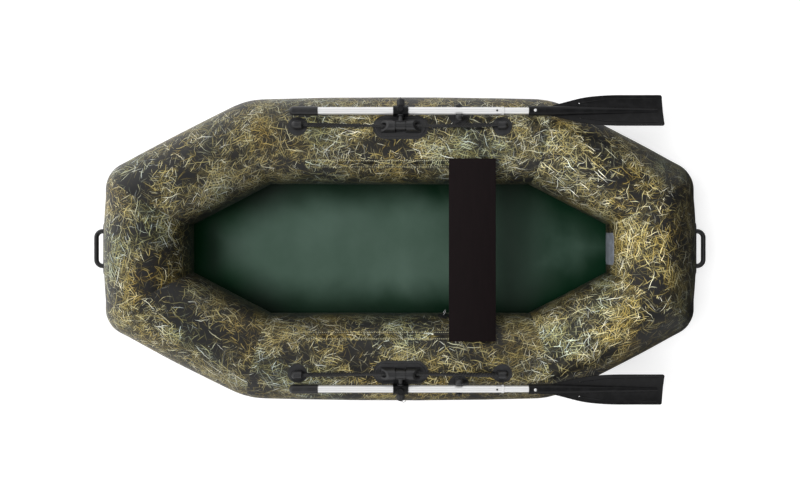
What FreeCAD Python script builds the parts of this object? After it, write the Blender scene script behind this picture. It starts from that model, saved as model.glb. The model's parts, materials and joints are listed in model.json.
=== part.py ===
import FreeCAD, Part
import math
import os

from FreeCAD import Placement, Rotation, Vector

# A one-seat inflatable rowing boat with a plank seat and a pair of take-down oars, in millimetres.
# +X points to the bow, +Y to port and +Z up. The origin is on the ground under the middle of the hull.
# Fittings are drawn on the port side, and the starboard ones are their mirror images.

# Hull: a ring of eight mitred air tubes on a fabric floor
hull_length = 2406.0
hull_width = 1236.0
tube_diameter = 354.0
side_tube_length = 1148.0
end_tube_length = 416.0
floor_thickness = 2.0
floor_lap = 25.0

# Glue line under everything bonded to a tube, and the cloth patch round each fitting
bond_gap = 0.3
patch_thickness = 2.0

# Seat plank, sliding on two bead rails
seat_overhang = 24.0
seat_width = 182.0
seat_thickness = 12.0
seat_x = 282.0
rail_length = 740.0
rail_angle = 36.0
rail_flange_width = 40.0
rail_bead_diameter = 8.0
rail_bead_height = 9.3
rail_web = 2.6
runner_length = 150.0
runner_width = 18.0
runner_wall = 1.9
runner_flange_width = 34.0
runner_flange_thickness = 3.0
slide_clearance = 0.8

# Rowlock: a raised plate with two scooped barrels, and a knuckle that turns on the axle between them
rowlock_x = 3.0
rowlock_angle = 12.0
base_length = 197.0
base_width = 78.0
base_height = 7.2
base_edge = 2.4
base_skirt = 9.0
skirt_thickness = 3.0
barrel_height = 27.5
barrel_inboard = 5.5
barrel_diameter = 42.0
barrel_length = 150.0
barrel_roof_length = 92.0
mouth_drop = 6.0
axle_diameter = 25.4
axle_bore = 18.0
axle_fit = 0.3
axle_length = 86.0
knuckle_length = 36.0
knuckle_side_gap = 3.5
knuckle_floor_gap = 2.5
knuckle_ear_reach = 17.0
knuckle_ear_thickness = 20.0

# Oar pin, from the knuckle out through the oar, and its cap
pin_angle = 16.7
pin_reach = 62.9
pin_diameter = 10.0
pin_fit = 0.3
neck_diameter = 18.0
shoulder_diameter = 28.0
shoulder_thickness = 4.0
clamp_length = 58.0
clamp_wall = 4.2
clamp_flange = 5.0
clamp_flange_rise = 2.0
clamp_boss_diameter = 28.0
clamp_boss_rise = 5.0
clamp_boss_edge = 3.0
cap_diameter = 31.0
cap_length = 26.0
cap_lobe_count = 8
cap_groove_diameter = 6.4
cap_edge = 3.5
pin_tip = 5.0

# Oar, by distances along the hull from amidships
oar_fit = 0.2
grip_end_x = -429.0
grip_length = 112.0
grip_diameter = 35.0
grip_end_wall = 12.0
upper_tube_diameter = 30.0
upper_tube_wall = 1.3
upper_tube_end_x = 394.0
collar_length = 8.0
collar_diameter = 33.0
lower_tube_wall = 1.3
lower_tube_lap = 60.0
socket_start_x = 498.0
socket_depth = 55.0
socket_diameter = 38.0
blade_start_x = 575.0
blade_start_width = 34.0
blade_shoulder_x = 715.0
blade_shoulder_width = 111.0
blade_shoulder_radius = 440.0
blade_cheek_x = 810.0
blade_cheek_radius = 1000.0
blade_tip_x = 1018.0
blade_width = 128.0
blade_corner_radius = 8.0
blade_thickness = 4.0
blade_camber_radius = 400.0
spine_start_x = 625.0
spine_end_diameter = 14.0
spine_tip_inset = 22.0
edge_rib_diameter = 6.4
edge_rib_inset = 14.0
edge_rib_start_x = 702.0
edge_rib_turn_x = 800.0
blade_hole_x = 696.0
blade_hole_spread = 62.6
blade_hole_diameter = 5.0

# Keeper that holds the stowed oar
keeper_x = 229.0
keeper_patch_diameter = 80.0
keeper_length = 24.0
keeper_saddle_width = 32.0
keeper_gap = 1.2
inner_finger_thickness = 11.0
outer_finger_thickness = 4.5
inner_finger_foot_angle = -70.0
inner_finger_top_angle = 4.0
outer_finger_foot_angle = -46.0
outer_finger_top_angle = -10.0
inner_ball_diameter = 31.0
outer_ball_diameter = 11.0
keeper_ball_relief = 0.3

# Grab rope and its end fittings
rope_diameter = 12.0
rope_fit = 0.4
fitting_x = 398.0
fitting_angle = 13.0
fitting_patch_diameter = 77.0
fitting_rope_height = 13.0
hood_diameter = 31.0
hood_length = 40.0
hood_mouth = 18.0
rope_end_inset = 10.0
rope_straight = 60.0
rope_barrel_lead = 18.0
rope_arc_share = 0.45

# Carrying handles at the bow and stern
handle_rod_diameter = 18.7
handle_reach = 50.0
handle_width = 161.0
handle_corner_radius = 26.0
handle_pad_length = 214.0
handle_pad_width = 64.0
handle_pad_corner = 24.0
handle_pad_height = 4.3

# Inflation valves on the stern quarters, low on their inner walls
valve_angle_below = 35.0
valve_flange_diameter = 62.0
valve_body_diameter = 38.0
valve_body_height = 9.0
valve_cap_diameter = 29.0
valve_cap_height = 15.0
valve_edge = 2.0

# Lashing ring on the starboard inner wall
lashing_x = 176.0
lashing_angle_above = 15.0
lashing_patch_diameter = 48.0
ring_wire = 3.2
ring_height = 24.0
ring_reach = 22.0
ring_heel_radius = 4.0
ring_toe_radius = 10.5
ring_turn = 25.0
ring_sleeve_length = 12.0
ring_sleeve_wall = 1.6
ring_sleeve_fit = 0.5

tube_radius = tube_diameter / 2
tube_z = floor_thickness + tube_radius
side_axis_y = hull_width / 2 - tube_radius
end_axis_x = hull_length / 2 - tube_radius
along_hull = Vector(1, 0, 0)
upward = Vector(0, 0, 1)


def polar(reach, angle):
    """Point in the YZ plane at an angle above level, outboard to port."""
    bearing = math.radians(angle)
    return Vector(0, reach * math.cos(bearing), reach * math.sin(bearing))


def tube_frame(axis_point, along, out):
    """Frame on a tube's axis, with X along the tube and Z square out of its wall."""
    return Placement(axis_point, Rotation(along, out.cross(along), out, "ZXY"))


def side_frame(x, outboard_angle):
    """Frame on the port side tube, tipped outboard from straight up."""
    axis_point = Vector(x, side_axis_y, tube_z)
    return tube_frame(axis_point, along_hull, polar(1, 90 - outboard_angle))


def rod(diameter, start, end):
    """Round bar between two points."""
    run = end - start
    return Part.makeCylinder(diameter / 2, run.Length, start, run)


def hollow_rod(outer, inner, start, end):
    """Round tube between two points."""
    return rod(outer, start, end).cut(rod(inner, start, end))


def corner_arc(before, corner, after, radius):
    """First, middle and last point of the arc that rounds a corner."""
    back = (before - corner).normalize()
    ahead = (after - corner).normalize()
    half_angle = back.getAngle(ahead) / 2
    reach = radius / math.tan(half_angle)
    centre = corner + (back + ahead).normalize() * (radius / math.sin(half_angle))
    middle = centre + (corner - centre).normalize() * radius
    return corner + back * reach, middle, corner + ahead * reach


def rounded_wire(points, radii, closed):
    """Lines through the points with tangent arcs. A corner of radius nought stays sharp."""
    stops = []
    for index, point in enumerate(points):
        if radii[index] == 0:
            stops.append((point, None, point))
        else:
            after = points[(index + 1) % len(points)]
            stops.append(corner_arc(points[index - 1], point, after, radii[index]))
    edges = []
    for index, (enter, middle, leave) in enumerate(stops):
        if middle is not None:
            edges.append(Part.Arc(enter, middle, leave).toShape())
        if closed or index + 1 < len(stops):
            edges.append(Part.makeLine(leave, stops[(index + 1) % len(stops)][0]))
    return Part.Wire(edges)


def round_bar(path, diameter):
    """Solid of round section along a path that starts on a straight run."""
    first = path.OrderedEdges[0]
    start = first.valueAt(first.FirstParameter)
    heading = first.tangentAt(first.FirstParameter)
    section = Part.Wire(Part.makeCircle(diameter / 2, start, heading))
    return path.makePipeShell([section], True, False)


def disc(diameter):
    """Round face in the XY plane."""
    return Part.Face(Part.Wire(Part.makeCircle(diameter / 2)))


def rounded_rectangle(length, width, radius):
    """Face in the XY plane, with X its long way."""
    x = length / 2
    y = width / 2
    corners = [Vector(-x, -y, 0), Vector(x, -y, 0), Vector(x, y, 0), Vector(-x, y, 0)]
    return Part.Face(rounded_wire(corners, [radius] * 4, True))


def stadium(length, width):
    """Face in the XY plane with half-round ends."""
    y = width / 2
    x = length / 2 - y
    edges = [
        Part.makeLine(Vector(-x, -y, 0), Vector(x, -y, 0)),
        Part.Arc(Vector(x, -y, 0), Vector(x + y, 0, 0), Vector(x, y, 0)).toShape(),
        Part.makeLine(Vector(x, y, 0), Vector(-x, y, 0)),
        Part.Arc(Vector(-x, y, 0), Vector(-x - y, 0, 0), Vector(-x, -y, 0)).toShape(),
    ]
    return Part.Face(Part.Wire(edges))


def off_wall(shape, height):
    """What lies of a shape in a tube frame further than height over the tube's wall."""
    reach = shape.BoundBox.XMax - shape.BoundBox.XMin + 2
    start = Vector(shape.BoundBox.XMin - 1, 0, 0)
    return shape.cut(Part.makeCylinder(tube_radius + height, reach, start, along_hull))


def wall_patch(face, height):
    """Cloth or plate of the face's outline, curved to the wall, in a tube frame."""
    prism = face.extrude(Vector(0, 0, tube_radius + height))
    length = prism.BoundBox.XLength + 2
    start = Vector(prism.BoundBox.XMin - 1, 0, 0)
    skin = Part.makeCylinder(tube_radius + height, length, start, along_hull)
    return off_wall(prism.common(skin), bond_gap)


def fused(first, *others):
    """One solid of several, without the seams between them."""
    return first.fuse(list(others)).removeSplitter()


def to_starboard(shape):
    return shape.mirror(Vector(0, 0, 0), Vector(0, 1, 0))


def to_stern(shape):
    return shape.mirror(Vector(0, 0, 0), along_hull)


def export(name, shape):
    """Write one sub-part, as a single sound solid."""
    solid = shape.Solids[0] if len(shape.Solids) == 1 else shape
    if len(shape.Solids) != 1 or not solid.isValid():
        raise ValueError(name + " isn't one sound solid")
    solid.exportStep("parts/" + name + ".step")


def export_pair(name, port_shape):
    export(name + "_port", port_shape)
    export(name + "_starboard", to_starboard(port_shape))


# Hull ring

def hull_corners():
    """Corners of the ring's centreline, round from the port side's fore end over the stern."""
    side_x = side_tube_length / 2
    end_y = end_tube_length / 2
    port = [(side_x, side_axis_y), (-side_x, side_axis_y), (-end_axis_x, end_y)]
    starboard = [(-end_axis_x, -end_y), (-side_x, -side_axis_y), (side_x, -side_axis_y)]
    bow = [(end_axis_x, -end_y), (end_axis_x, end_y)]
    return [Vector(x, y, tube_z) for x, y in port + starboard + bow]


def inward_mitre(corners, index):
    """Vector along a corner's mitre, as long as it is for each unit square off the tubes."""
    corner = corners[index % len(corners)]
    back = (corners[(index - 1) % len(corners)] - corner).normalize()
    ahead = (corners[(index + 1) % len(corners)] - corner).normalize()
    half_angle = back.getAngle(ahead) / 2
    return (back + ahead).normalize() * (1 / math.sin(half_angle))


def air_tube(corners, index):
    """Tube from one corner of the ring to the next, cut along both mitres."""
    start = corners[index]
    end = corners[(index + 1) % len(corners)]
    overrun = (end - start).normalize() * (2 * tube_radius)
    width = 1.2 * tube_radius
    start_mitre = inward_mitre(corners, index) * width
    end_mitre = inward_mitre(corners, index + 1) * width
    drop = Vector(0, 0, -width)
    outline = [start + start_mitre, end + end_mitre, end - end_mitre, start - start_mitre]
    outline = [point + drop for point in outline]
    wedge = Part.Face(Part.makePolygon(outline + outline[:1])).extrude(upward * (2 * width))
    return rod(tube_diameter, start - overrun, end + overrun).common(wedge)


def floor_sheet(corners):
    """Fabric floor, glued under the tubes with a lap beyond their lowest line."""
    outline = []
    for index, corner in enumerate(corners):
        edge = corner - inward_mitre(corners, index) * floor_lap
        outline.append(Vector(edge.x, edge.y, 0))
    return Part.Face(Part.makePolygon(outline + outline[:1])).extrude(upward * floor_thickness)


def make_hull():
    corners = hull_corners()
    names = [
        "side_tube_port",
        "stern_quarter_tube_port",
        "stern_tube",
        "stern_quarter_tube_starboard",
        "side_tube_starboard",
        "bow_quarter_tube_starboard",
        "bow_tube",
        "bow_quarter_tube_port",
    ]
    for index, name in enumerate(names):
        export(name, air_tube(corners, index))
    export("floor_sheet", floor_sheet(corners))


# Seat

def rail_bead_point():
    """Middle of the port rail's bead, from the tube's axis."""
    return polar(tube_radius + rail_bead_height, 90 + rail_angle)


def seat_underside():
    """Height of the plank's underside over the tubes' axes: level with the runner's highest corner."""
    cavity = rail_bead_diameter / 2 + slide_clearance
    runner_top = polar(tube_radius + rail_bead_height + cavity + runner_wall, 90 + rail_angle)
    corner = polar(runner_width / 2, rail_angle)
    return runner_top.z + corner.z


def seat_rail():
    """Bead on a web, with the flange that bonds it to the tube."""
    half = rail_length / 2
    flange = wall_patch(rounded_rectangle(rail_length, rail_flange_width, 8), patch_thickness)
    bead_z = tube_radius + rail_bead_height
    bead = rod(rail_bead_diameter, Vector(-half, 0, bead_z), Vector(half, 0, bead_z))
    web_foot = Vector(-half, -rail_web / 2, tube_radius + patch_thickness / 2)
    web = Part.makeBox(rail_length, rail_web, bead_z - web_foot.z, web_foot)
    rail = fused(flange, web, bead)
    rail.Placement = side_frame(0, -rail_angle)
    return rail


def seat_runner():
    """Slotted runner under one end of the plank, held on the rail by its bead."""
    half = runner_length / 2
    cavity = rail_bead_diameter / 2 + slide_clearance
    bead_z = tube_radius + rail_bead_height
    low = tube_radius + patch_thickness + slide_clearance
    high = bead_z + cavity + runner_wall
    corner = Vector(-half, -runner_width / 2, low)
    body = Part.makeBox(runner_length, runner_width, high - low, corner)
    slot_width = rail_web + 2 * slide_clearance
    slot_corner = Vector(-half, -slot_width / 2, low)
    slot = Part.makeBox(runner_length, slot_width, bead_z - low, slot_corner)
    bore = rod(2 * cavity, Vector(-half, 0, bead_z), Vector(half, 0, bead_z))
    body = body.cut(slot).cut(bore)
    body.Placement = side_frame(seat_x, -rail_angle)
    bead = rail_bead_point()
    top = tube_z + seat_underside()
    flange_corner = Vector(
        seat_x - half,
        side_axis_y + bead.y - runner_flange_width / 2,
        top - runner_flange_thickness,
    )
    flange = Part.makeBox(runner_length, runner_flange_width, runner_flange_thickness, flange_corner)
    return fused(body, flange)


def seat_plank():
    """Plank from side to side, ending a little outboard of the rails' beads."""
    end_y = side_axis_y + rail_bead_point().y + seat_overhang
    corner = Vector(seat_x - seat_width / 2, -end_y, tube_z + seat_underside())
    return Part.makeBox(seat_width, 2 * end_y, seat_thickness, corner)


def make_seat():
    export_pair("seat_rail", seat_rail())
    export_pair("seat_runner", seat_runner())
    export("seat_plank", seat_plank())


# Rowlock

barrel_z = tube_radius + barrel_height
barrel_axis = polar(barrel_z, 90 - rowlock_angle) - polar(barrel_inboard, -rowlock_angle)
shaft_axis = barrel_axis + polar(pin_reach, -pin_angle)
knuckle_half = knuckle_length / 2
upper_tube_radius = upper_tube_diameter / 2
clamp_radius = upper_tube_radius + oar_fit + clamp_wall


def top_edges(plate, height):
    """Outline of a plate's upper face, which lies at a height over the tube's wall."""
    for face in plate.Faces:
        surface = face.Surface
        if isinstance(surface, Part.Cylinder) and abs(surface.Radius - tube_radius - height) < 0.01:
            return face.OuterWire.Edges
    raise ValueError("the plate has no upper face")


def barrel_scoop(side):
    """Wedge cut off a barrel's outer end, sloping from its roof down to its mouth."""
    top = barrel_z + barrel_diameter
    roof_x = side * barrel_roof_length / 2
    roof_z = barrel_z + barrel_diameter / 2
    mouth_x = side * barrel_length / 2
    mouth_z = barrel_z - mouth_drop
    beyond_x = mouth_x + side * barrel_diameter
    y = -barrel_inboard - barrel_diameter
    corners = [(roof_x, top), (roof_x, roof_z), (mouth_x, mouth_z), (beyond_x, mouth_z), (beyond_x, top)]
    points = [Vector(x, y, z) for x, z in corners]
    return Part.Face(Part.makePolygon(points + points[:1])).extrude(Vector(0, 2 * barrel_diameter, 0))


def rowlock_base():
    """Raised plate on a flange bonded to the tube, with a tunnel barrel each side of the knuckle."""
    flange_outline = stadium(base_length + 2 * base_skirt, base_width + 2 * base_skirt)
    plate = wall_patch(stadium(base_length, base_width), base_height)
    plate = plate.makeFillet(base_edge, top_edges(plate, base_height))
    shape = fused(wall_patch(flange_outline, skirt_thickness), plate)
    half = barrel_length / 2
    inner = knuckle_half + knuckle_side_gap
    for side in (-1, 1):
        near = Vector(side * inner, -barrel_inboard, barrel_z)
        far = Vector(side * half, -barrel_inboard, barrel_z)
        foot = Vector(min(near.x, far.x), -barrel_inboard - barrel_diameter / 2, tube_radius)
        walls = Part.makeBox(half - inner, barrel_diameter, barrel_height, foot)
        barrel = fused(rod(barrel_diameter, near, far), off_wall(walls, patch_thickness))
        shape = shape.fuse(barrel.cut(barrel_scoop(side)))
        shape = shape.cut(rod(axle_diameter + 2 * axle_fit, near, far))
    shape = shape.removeSplitter()
    shape.Placement = side_frame(rowlock_x, rowlock_angle)
    return shape


def rowlock_axle():
    """Tube that the knuckle turns on, bored for the grab rope."""
    middle = Vector(0, -barrel_inboard, barrel_z)
    half = along_hull * (axle_length / 2)
    axle = hollow_rod(axle_diameter, axle_bore, middle - half, middle + half)
    axle.Placement = side_frame(rowlock_x, rowlock_angle)
    return axle


def oar_frame():
    """Frame on the stowed oar's axis abeam of the rowlock, with Y out along the pin."""
    origin = Vector(0, side_axis_y, tube_z) + shaft_axis
    return Placement(origin, Rotation(along_hull, -pin_angle))


def rowlock_knuckle():
    """Eared sleeve on the axle, with the neck, shoulder and pin that carry the oar, in the oar's frame."""
    middle = Vector(rowlock_x, -pin_reach, 0)
    left = middle - along_hull * knuckle_half
    right = middle + along_hull * knuckle_half
    radius = barrel_height - base_height - knuckle_floor_gap
    shoulder_end = Vector(rowlock_x, -clamp_radius - pin_fit, 0)
    shoulder_start = shoulder_end - Vector(0, shoulder_thickness, 0)
    cap_end = Vector(rowlock_x, clamp_radius + pin_fit + cap_length + pin_tip, 0)
    sleeve = rod(2 * radius, left, right)
    ear_corner = left - Vector(0, 0, knuckle_ear_thickness / 2)
    ear = Part.makeBox(knuckle_length, knuckle_ear_reach, knuckle_ear_thickness, ear_corner)
    neck = rod(neck_diameter, middle, shoulder_start)
    shoulder = rod(shoulder_diameter, shoulder_start, shoulder_end)
    pin = rod(pin_diameter, shoulder_end, cap_end)
    bore = rod(axle_diameter + 2 * axle_fit, left, right)
    return fused(sleeve, ear, neck, shoulder, pin).cut(bore)


def pin_hole():
    """Hole for the pin, right through the oar, in the oar's frame."""
    reach = Vector(0, 2 * clamp_radius, 0)
    middle = Vector(rowlock_x, 0, 0)
    return rod(pin_diameter + 2 * pin_fit, middle - reach, middle + reach)


def oar_clamp():
    """Sleeve round the shaft, with a flange at each end and a boss on top."""
    half = Vector(clamp_length / 2, 0, 0)
    edge = Vector(clamp_flange, 0, 0)
    middle = Vector(rowlock_x, 0, 0)
    flange_diameter = 2 * (clamp_radius + clamp_flange_rise)
    sleeve = rod(2 * clamp_radius, middle - half, middle + half)
    fore = rod(flange_diameter, middle + half - edge, middle + half)
    aft = rod(flange_diameter, middle - half, middle - half + edge)
    boss = rod(clamp_boss_diameter, middle, middle + upward * (clamp_radius + clamp_boss_rise))
    boss = boss.makeFillet(clamp_boss_edge, [boss.Edges[0]])
    bore = rod(upper_tube_diameter + 2 * oar_fit, middle - half, middle + half)
    return fused(sleeve, fore, aft, boss).cut(bore).cut(pin_hole())


def pin_cap():
    """Lobed cap on the outer end of the pin."""
    start = Vector(rowlock_x, clamp_radius + pin_fit, 0)
    end = start + Vector(0, cap_length, 0)
    cap = rod(cap_diameter, start, end)
    cap = cap.makeFillet(cap_edge, [cap.Edges[0]])
    for index in range(cap_lobe_count):
        bearing = 2 * math.pi * index / cap_lobe_count
        groove = Vector(math.cos(bearing), 0, math.sin(bearing)) * (cap_diameter / 2)
        cap = cap.cut(rod(cap_groove_diameter, start + groove, end + groove))
    return cap.cut(rod(pin_diameter + 2 * pin_fit, start, end))


def make_rowlocks():
    export_pair("rowlock_base", rowlock_base())
    export_pair("rowlock_axle", rowlock_axle())


# Oar

lower_tube_diameter = upper_tube_diameter - 2 * upper_tube_wall - 2 * oar_fit


def oar_grip():
    """Hand grip with a rounded end, slipped over the upper tube."""
    start = Vector(grip_end_x, 0, 0)
    end = start + Vector(grip_length, 0, 0)
    radius = grip_diameter / 2
    grip = rod(grip_diameter, start + Vector(radius, 0, 0), end)
    grip = fused(grip, Part.makeSphere(radius, start + Vector(radius, 0, 0)))
    bore_start = start + Vector(grip_end_wall + oar_fit, 0, 0)
    return grip.cut(rod(upper_tube_diameter + 2 * oar_fit, bore_start, end))


def oar_upper_tube():
    start = Vector(grip_end_x + grip_end_wall + 2 * oar_fit, 0, 0)
    end = Vector(upper_tube_end_x, 0, 0)
    inner = upper_tube_diameter - 2 * upper_tube_wall
    return hollow_rod(upper_tube_diameter, inner, start, end).cut(pin_hole())


def oar_collar():
    """Ring that closes the joint between the two tubes."""
    start = Vector(upper_tube_end_x + oar_fit, 0, 0)
    end = start + Vector(collar_length, 0, 0)
    return hollow_rod(collar_diameter, lower_tube_diameter + 2 * oar_fit, start, end)


def oar_lower_tube():
    start = Vector(upper_tube_end_x - lower_tube_lap, 0, 0)
    end = Vector(socket_start_x + socket_depth - oar_fit, 0, 0)
    return hollow_rod(lower_tube_diameter, lower_tube_diameter - 2 * lower_tube_wall, start, end)


def camber(y):
    """How far the blade's face bends back at a distance from its middle."""
    return blade_camber_radius - math.sqrt(blade_camber_radius ** 2 - y ** 2)


def blade_sheet():
    """Cambered sheet of the blade, cut to its outline."""
    stations = [
        (blade_start_x, blade_start_width / 2, 0),
        (blade_shoulder_x, blade_shoulder_width / 2, blade_shoulder_radius),
        (blade_cheek_x, blade_width / 2, blade_cheek_radius),
        (blade_tip_x, blade_width / 2, blade_corner_radius),
    ]
    points = [Vector(x, -y, 0) for x, y, radius in stations]
    points += [Vector(x, y, 0) for x, y, radius in reversed(stations)]
    radii = [radius for x, y, radius in stations]
    outline = rounded_wire(points, radii + radii[::-1], True)
    prism = Part.Face(outline).extrude(Vector(0, 0, blade_width))
    prism.translate(Vector(0, 0, -blade_width / 2))
    centre_start = Vector(blade_start_x, 0, blade_camber_radius)
    centre_end = Vector(blade_tip_x + 1, 0, blade_camber_radius)
    outer = 2 * blade_camber_radius + blade_thickness
    inner = 2 * blade_camber_radius - blade_thickness
    return prism.common(hollow_rod(outer, inner, centre_start, centre_end))


def edge_rib(side):
    """Rib that starts by the blade's hole and turns to run along one edge."""
    start_y = blade_hole_spread / 2
    end_y = blade_width / 2 - edge_rib_inset
    turn_y = end_y - edge_rib_diameter / 2
    end_x = blade_tip_x - spine_tip_inset
    stations = [(edge_rib_start_x, start_y), (edge_rib_turn_x, turn_y), (end_x, end_y)]
    start, turn, end = [Vector(x, side * y, camber(y)) for x, y in stations]
    ball = Part.makeSphere(edge_rib_diameter / 2, turn)
    return fused(rod(edge_rib_diameter, start, turn), ball, rod(edge_rib_diameter, turn, end))


def oar_blade():
    """Blade with its socket, tapered spine and edge ribs, as one moulding."""
    spine_start = Vector(spine_start_x, 0, 0)
    socket = rod(socket_diameter, Vector(socket_start_x, 0, 0), spine_start)
    spine_length = blade_tip_x - spine_tip_inset - spine_start_x
    spine = Part.makeCone(socket_diameter / 2, spine_end_diameter / 2, spine_length, spine_start, along_hull)
    blade = fused(blade_sheet(), socket, spine, edge_rib(-1), edge_rib(1))
    for side in (-1, 1):
        middle = Vector(blade_hole_x, side * blade_hole_spread / 2, 0)
        depth = Vector(0, 0, socket_diameter)
        blade = blade.cut(rod(blade_hole_diameter, middle - depth, middle + depth))
    bore_start = Vector(socket_start_x, 0, 0)
    bore_end = bore_start + Vector(socket_depth, 0, 0)
    return blade.cut(rod(lower_tube_diameter + 2 * oar_fit, bore_start, bore_end))


def make_oars():
    pieces = {
        "rowlock_knuckle": rowlock_knuckle(),
        "oar_clamp": oar_clamp(),
        "pin_cap": pin_cap(),
        "oar_grip": oar_grip(),
        "oar_upper_tube": oar_upper_tube(),
        "oar_collar": oar_collar(),
        "oar_lower_tube": oar_lower_tube(),
        "oar_blade": oar_blade(),
    }
    for name, piece in pieces.items():
        piece.Placement = oar_frame()
        export_pair(name, piece)


# Keeper

def sector(radius_in, radius_out, low_angle, high_angle):
    """Curved finger about the barrel's axis, along the way that the lifted oar takes."""
    points = [polar(radius_in, low_angle), polar(radius_in, (low_angle + high_angle) / 2)]
    points += [polar(radius_in, high_angle), polar(radius_out, high_angle)]
    points += [polar(radius_out, (low_angle + high_angle) / 2), polar(radius_out, low_angle)]
    edges = [
        Part.Arc(points[0], points[1], points[2]).toShape(),
        Part.makeLine(points[2], points[3]),
        Part.Arc(points[3], points[4], points[5]).toShape(),
        Part.makeLine(points[5], points[0]),
    ]
    finger = Part.Face(Part.Wire(edges)).extrude(along_hull * keeper_length)
    finger.translate(barrel_axis - along_hull * (keeper_length / 2))
    return finger


def oar_keeper():
    """Saddle on a round patch, with a finger on each side of the shaft, open the way the oar lifts."""
    shaft_angle = math.degrees(math.atan2(shaft_axis.y, shaft_axis.z))
    patch = wall_patch(disc(keeper_patch_diameter), patch_thickness)
    block = Part.makeBox(
        keeper_length,
        keeper_saddle_width,
        shaft_axis.Length,
        Vector(-keeper_length / 2, -keeper_saddle_width / 2, 0),
    )
    block = off_wall(block, patch_thickness / 2)
    foot = fused(patch, block)
    foot.Placement = Placement(Vector(0, 0, 0), Rotation(along_hull, -shaft_angle))
    path_in = pin_reach - upper_tube_radius - keeper_gap
    path_out = pin_reach + upper_tube_radius + keeper_gap
    reach = along_hull * keeper_length
    sweep_start = barrel_axis - reach
    swept_ring = hollow_rod(2 * path_out, 2 * path_in, sweep_start, barrel_axis + reach)
    above = Part.makeBox(2 * reach.Length, 4 * pin_reach, 4 * pin_reach, -reach - Vector(0, 2 * pin_reach, 0))
    above.Placement = Placement(barrel_axis, Rotation(along_hull, -pin_angle))
    seat_bore = rod(2 * (upper_tube_radius + keeper_gap), shaft_axis - reach, shaft_axis + reach)
    inner = sector(path_in - inner_finger_thickness, path_in, inner_finger_foot_angle, inner_finger_top_angle)
    outer = sector(path_out, path_out + outer_finger_thickness, outer_finger_foot_angle, outer_finger_top_angle)
    inner_ball_reach = path_in - keeper_ball_relief - inner_ball_diameter / 2
    outer_ball_reach = path_out + keeper_ball_relief + outer_ball_diameter / 2
    inner_ball_at = barrel_axis + polar(inner_ball_reach, inner_finger_top_angle)
    outer_ball_at = barrel_axis + polar(outer_ball_reach, outer_finger_top_angle)
    inner_ball = Part.makeSphere(inner_ball_diameter / 2, inner_ball_at)
    outer_ball = Part.makeSphere(outer_ball_diameter / 2, outer_ball_at)
    foot = foot.cut([swept_ring.common(above), seat_bore])
    keeper = foot.fuse([off_wall(inner, patch_thickness / 2), off_wall(outer, patch_thickness / 2)])
    keeper = keeper.fuse([inner_ball, outer_ball]).removeSplitter()
    keeper.Placement = Placement(Vector(keeper_x, side_axis_y, tube_z), Rotation())
    return keeper


def make_keepers():
    export_pair("oar_keeper", oar_keeper())


# Grab rope

def rope_fitting():
    """Hooded fitting on a round patch, at the fore end of the port rope, its mouth facing aft."""
    patch = wall_patch(disc(fitting_patch_diameter), patch_thickness)
    rope_z = tube_radius + fitting_rope_height
    nose_x = hood_length - hood_mouth - hood_diameter / 2
    mouth = Vector(-hood_mouth, 0, rope_z)
    nose = Vector(nose_x, 0, rope_z)
    hood = fused(rod(hood_diameter, mouth, nose), Part.makeSphere(hood_diameter / 2, nose))
    fitting = fused(patch, off_wall(hood, patch_thickness / 2))
    bore_end = Vector(-hood_mouth + 2 * rope_end_inset, 0, rope_z)
    fitting = fitting.cut(rod(rope_diameter + 2 * rope_fit, mouth, bore_end))
    fitting.Placement = side_frame(fitting_x, fitting_angle)
    return fitting


def grab_rope():
    """Rope from one fitting through the rowlock's axle to the other fitting."""
    low = Vector(0, side_axis_y, tube_z) + polar(tube_radius + fitting_rope_height, 90 - fitting_angle)
    high = Vector(0, side_axis_y, tube_z) + barrel_axis
    lead = barrel_length / 2 + rope_barrel_lead
    end_x = fitting_x - hood_mouth + 2 * rope_end_inset - rope_fit
    turn_x = fitting_x - rope_straight
    points = [
        low + along_hull * end_x,
        low + along_hull * turn_x,
        high + along_hull * (rowlock_x + lead),
        high + along_hull * (rowlock_x - lead),
        low - along_hull * turn_x,
        low - along_hull * end_x,
    ]
    radii = [0]
    for before, point, after in zip(points, points[1:], points[2:]):
        half_turn = (point - before).getAngle(after - point) / 2
        run = min((point - before).Length, (after - point).Length)
        radii.append(rope_arc_share * run / math.tan(half_turn))
    print("grab rope arc radii:", [round(radius) for radius in radii[1:]])
    rope = round_bar(rounded_wire(points, radii + [0], False), rope_diameter)
    length = rope.Volume / (math.pi * rope_diameter ** 2 / 4)
    print("grab rope length:", round(length, 1))
    return rope


def make_ropes():
    fitting = rope_fitting()
    export_pair("rope_fitting_fore", fitting)
    export_pair("rope_fitting_aft", to_stern(fitting))
    export_pair("grab_rope", grab_rope())


# Handles, valves and lashing ring

def bow_handle():
    """Round grip bent out from a pad on the bow tube's outer wall."""
    pad = wall_patch(rounded_rectangle(handle_pad_length, handle_pad_width, handle_pad_corner), handle_pad_height)
    foot_z = tube_radius + handle_pad_height / 2
    rod_z = tube_radius + handle_reach - handle_rod_diameter / 2
    half = (handle_width - handle_rod_diameter) / 2
    points = [Vector(-half, 0, foot_z), Vector(-half, 0, rod_z), Vector(half, 0, rod_z), Vector(half, 0, foot_z)]
    corner = min(handle_corner_radius, 0.9 * (rod_z - foot_z))
    path = rounded_wire(points, [0, corner, corner, 0], False)
    handle = fused(pad, round_bar(path, handle_rod_diameter))
    handle.Placement = tube_frame(Vector(end_axis_x, 0, tube_z), Vector(0, 1, 0), along_hull)
    return handle


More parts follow.
